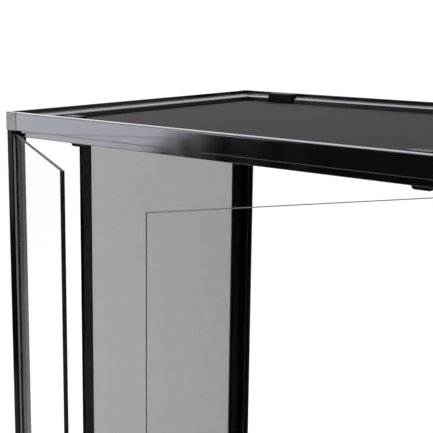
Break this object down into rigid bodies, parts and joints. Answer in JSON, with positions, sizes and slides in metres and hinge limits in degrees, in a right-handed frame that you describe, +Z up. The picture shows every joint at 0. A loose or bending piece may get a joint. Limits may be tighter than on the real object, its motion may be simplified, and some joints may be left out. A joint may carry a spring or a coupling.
{
  "type": "terrarium cabinet",
  "caption": "Tall glass terrarium in a black frame, with swinging glass front doors, mesh side windows, a front air vent and a lift-off screen lid.",
  "frame": {"origin": "centre of the cabinet's footprint on the floor, under the closed cabinet and not counting the open doors", "axes": "+X to the cabinet's right as seen from the front, the doors face -Y, +Z up"},
  "size_m": [0.61, 0.6999, 0.914],
  "materials": {
    "frame": "glossy black extrusion with fine long die lines",
    "fittings": "satin black moulded plastic with a fine grain",
    "glass": "clear float glass with ground grey-green edges",
    "mesh": "fine black-coated woven wire screen",
    "feet": "matt black moulded pads"
  },
  "bodies": {
    "cabinet": {"front_top_rail": "frame", "right_top_rail": "frame", "back_top_rail": "frame", "left_top_rail": "frame", "front_base_rail": "frame", "right_base_rail": "frame", "back_base_rail": "frame", "left_base_rail": "frame", "top_corner_front_left": "fittings", "top_corner_front_right": "fittings", "top_corner_back_right": "fittings", "top_corner_back_left": "fittings", "base_corner_front_left": "fittings", "base_corner_front_right": "fittings", "base_corner_back_right": "fittings", "base_corner_back_left": "fittings", "post_front_left": "frame", "post_front_right": "frame", "post_back_right": "frame", "post_back_left": "frame", "feet": "feet", "floor_glass": "glass", "dam_glass": "glass", "vent_rail": "frame", "vent_mesh": "mesh", "back_glass": "glass", "left_side_glass": "glass", "left_window_front_bar": "frame", "left_window_mesh": "mesh", "left_window_back_bar": "frame", "right_side_glass": "glass", "right_window_front_bar": "frame", "right_window_mesh": "mesh", "right_window_back_bar": "frame"},
    "left_door": {"left_door_glass": "glass", "left_door_edge_strip": "frame", "left_hinge_top": "fittings", "left_hinge_bottom": "fittings", "left_pull": "fittings"},
    "right_door": {"right_door_glass": "glass", "right_hinge_top": "fittings", "right_hinge_bottom": "fittings", "right_pull": "fittings"},
    "door_latch": {"door_latch": "fittings"},
    "lid": {"lid_front_bar": "frame", "lid_right_bar": "frame", "lid_back_bar": "frame", "lid_left_bar": "frame", "lid_corner_front_left": "fittings", "lid_corner_front_right": "fittings", "lid_corner_back_right": "fittings", "lid_corner_back_left": "fittings", "lid_mesh": "mesh", "lid_clip_front_left": "fittings", "lid_clip_front_right": "fittings", "lid_clip_back_right": "fittings", "lid_clip_back_left": "fittings"}
  },
  "joints": [
    {"name": "left_door_hinge", "type": "hinge", "parent": "cabinet", "child": "left_door", "pos_m": [-0.2921, -0.2261, 0.5137], "axis": [0, 0, -1], "range_deg": [-32.1, 67.9]},
    {"name": "right_door_hinge", "type": "hinge", "parent": "cabinet", "child": "right_door", "pos_m": [0.2921, -0.2261, 0.5137], "axis": [0, 0, 1], "range_deg": [-57.5, 42.5]},
    {"name": "latch_turn", "type": "hinge", "parent": "cabinet", "child": "door_latch", "pos_m": [0, -0.2285, 0.127], "axis": [0, 1, 0], "range_deg": [0, 90]},
    {"name": "lid_lift", "type": "slide", "parent": "cabinet", "child": "lid", "axis": [0, 0, 1], "range_m": [0, 0.08]}
  ]
}
